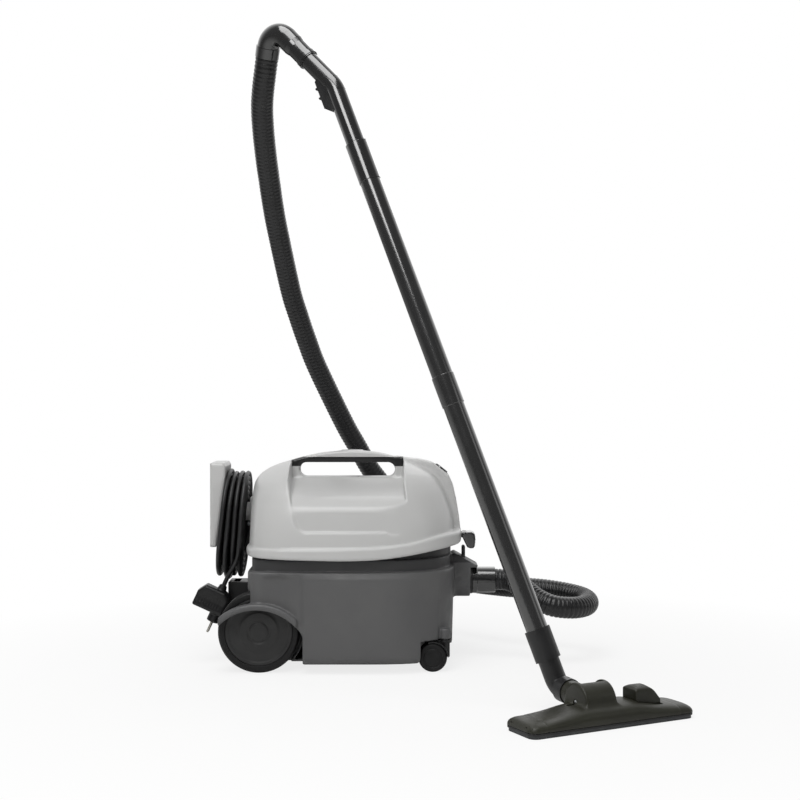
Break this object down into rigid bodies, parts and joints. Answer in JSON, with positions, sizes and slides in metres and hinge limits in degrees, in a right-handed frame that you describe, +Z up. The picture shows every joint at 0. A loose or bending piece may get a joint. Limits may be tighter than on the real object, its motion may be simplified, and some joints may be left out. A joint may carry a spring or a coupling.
{
  "type": "canister vacuum cleaner",
  "caption": "Tub-type canister vacuum cleaner on wheels and casters, with lift-off motor lid, ribbed hose, bent-handle wand, floor nozzle and mains cord wound on its rear hook.",
  "frame": {"origin": "on the floor under the middle of the box that holds the machine and its wand, without hose and cord", "axes": "+X towards the machine's front, where the hose enters; +Y towards its left side; +Z up"},
  "size_m": [0.8128, 0.8662, 1.1037],
  "materials": {
    "tub_grey": "moulded, fine grain",
    "lid_grey": "smooth moulded",
    "base_black": "moulded",
    "black_plastic": "moulded",
    "gloss_black": "polished",
    "wheel_grey": "moulded",
    "tyre": "soft rubber",
    "seal_rubber": "extruded",
    "bag_paper": "layered paper",
    "card": "pressed card",
    "steel": "turned",
    "aluminium": "cast",
    "rotor_metal": "wound and lacquered",
    "filter_fabric": "needled felt",
    "filter_foam": "open foam",
    "hose_plastic": "wound ribs",
    "cord_rubber": "extruded",
    "plug_rubber": "moulded",
    "pin_metal": "plated",
    "tube_metal": "coated",
    "nozzle_plastic": "moulded",
    "sole_steel": "pressed",
    "bumper_rubber": "moulded",
    "bristle": "set tufts"
  },
  "bodies": {
    "tub": {"tub": "tub_grey", "tub_seal": "seal_rubber", "inlet_ring": "black_plastic", "dust_bag": "bag_paper", "bag_collar": "card", "bag_holder": "base_black", "wheel_axles": "steel", "parking_bracket": "black_plastic", "hose": "hose_plastic", "hose_inlet_cuff": "gloss_black", "hose_wand_cuff": "gloss_black"},
    "lid": {"lid_cover": "lid_grey", "lid_base": "base_black", "fan_housing": "aluminium", "motor_frame": "steel", "lower_motor_mount": "seal_rubber", "upper_motor_mount": "seal_rubber", "filter_basket": "black_plastic", "filter_cloth": "filter_fabric", "exhaust_filter": "filter_foam", "button_bezel": "black_plastic", "latch_pin": "steel", "cord_hook": "lid_grey", "hook_screws": "steel", "lid_screws": "steel", "cord_gland": "cord_rubber", "cord_lead": "cord_rubber", "cord_hank": "cord_rubber", "cord_tail": "cord_rubber", "mains_plug": "plug_rubber", "plug_pins": "pin_metal"},
    "rotor": {"impeller": "aluminium", "rotor_core": "rotor_metal"},
    "power_switch": {"power_button": "gloss_black"},
    "latch": {"front_latch": "gloss_black"},
    "left_wheel": {"left_wheel_disc": "wheel_grey", "left_tyre": "tyre"},
    "right_wheel": {"right_wheel_disc": "wheel_grey", "right_tyre": "tyre"},
    "left_caster": {"left_caster_hood": "black_plastic", "left_caster_axle": "steel"},
    "left_caster_roller": {"left_caster_wheels": "wheel_grey"},
    "right_caster": {"right_caster_hood": "black_plastic", "right_caster_axle": "steel"},
    "right_caster_roller": {"right_caster_wheels": "wheel_grey"},
    "wand": {"grip_tube": "gloss_black", "regulator_housing": "black_plastic", "wand_sleeve": "gloss_black", "upper_tube": "tube_metal", "lower_tube": "tube_metal", "neck_elbow": "nozzle_plastic"},
    "regulator": {"regulator_slider": "black_plastic"},
    "yoke": {"nozzle_yoke": "nozzle_plastic"},
    "nozzle": {"nozzle_cover": "nozzle_plastic", "nozzle_sole": "sole_steel", "nozzle_bumper": "bumper_rubber", "tilt_pins": "steel"},
    "pedal": {"foot_pedal": "nozzle_plastic"},
    "brushes": {"brush_frame": "black_plastic", "brush_strips": "bristle"}
  },
  "joints": [
    {"name": "lid_lift", "type": "slide", "parent": "tub", "child": "lid", "axis": [0, 0, 1], "range_m": [0, 0.16]},
    {"name": "motor_spin", "type": "hinge", "parent": "lid", "child": "rotor", "pos_m": [-0.13, 0.21, 0.25], "axis": [0, 0, 1], "continuous": true},
    {"name": "switch_press", "type": "slide", "parent": "lid", "child": "power_switch", "axis": [-0.6143, 0, -0.7891], "range_m": [0, 0.003], "stiffness_N_per_m": 400, "springref_m": -0.001},
    {"name": "latch_swing", "type": "hinge", "parent": "lid", "child": "latch", "pos_m": [0.072, 0.21, 0.226], "axis": [0, -1, 0], "range_deg": [0, 35]},
    {"name": "left_wheel_spin", "type": "hinge", "parent": "tub", "child": "left_wheel", "pos_m": [-0.291, 0.337, 0.071], "axis": [0, 1, 0], "continuous": true},
    {"name": "right_wheel_spin", "type": "hinge", "parent": "tub", "child": "right_wheel", "pos_m": [-0.291, 0.083, 0.071], "axis": [0, 1, 0], "continuous": true},
    {"name": "left_caster_swivel", "type": "hinge", "parent": "tub", "child": "left_caster", "pos_m": [0.033, 0.327, 0.03], "axis": [0, 0, 1], "continuous": true},
    {"name": "left_caster_roll", "type": "hinge", "parent": "left_caster", "child": "left_caster_roller", "pos_m": [0.011, 0.327, 0.025], "axis": [0, 1, 0], "continuous": true},
    {"name": "right_caster_swivel", "type": "hinge", "parent": "tub", "child": "right_caster", "pos_m": [0.033, 0.093, 0.03], "axis": [0, 0, 1], "continuous": true},
    {"name": "right_caster_roll", "type": "hinge", "parent": "right_caster", "child": "right_caster_roller", "pos_m": [0.011, 0.093, 0.025], "axis": [0, 1, 0], "continuous": true},
    {"name": "wand_swivel", "type": "hinge", "parent": "tub", "child": "wand", "pos_m": [-0.153, -0.05, 0.98866], "axis": [0.6485, -0.2969, -0.7009], "continuous": true},
    {"name": "regulator_slide", "type": "slide", "parent": "wand", "child": "regulator", "axis": [0.3406, -0.1559, -0.9272], "range_m": [0, 0.01]},
    {"name": "neck_swivel", "type": "hinge", "parent": "wand", "child": "yoke", "pos_m": [0.19612, -0.20984, 0.0383], "axis": [0.4608, -0.8853, -0.0628], "continuous": true},
    {"name": "nozzle_tilt", "type": "hinge", "parent": "yoke", "child": "nozzle", "pos_m": [0.23502, -0.28456, 0.033], "axis": [0.887, 0.4618, 0], "range_deg": [-38, 6]},
    {"name": "pedal_rock", "type": "hinge", "parent": "nozzle", "child": "pedal", "pos_m": [0.31588, -0.25148, 0.018], "axis": [0.887, 0.4618, 0], "range_deg": [0, 14]},
    {"name": "brush_drop", "type": "slide", "parent": "nozzle", "child": "brushes", "axis": [0, 0, -1], "range_m": [0, 0.005]}
  ],
  "couplings": [
    {"joint": "brush_drop", "follows": "pedal_rock", "m_per_rad": 0.02046}
  ]
}
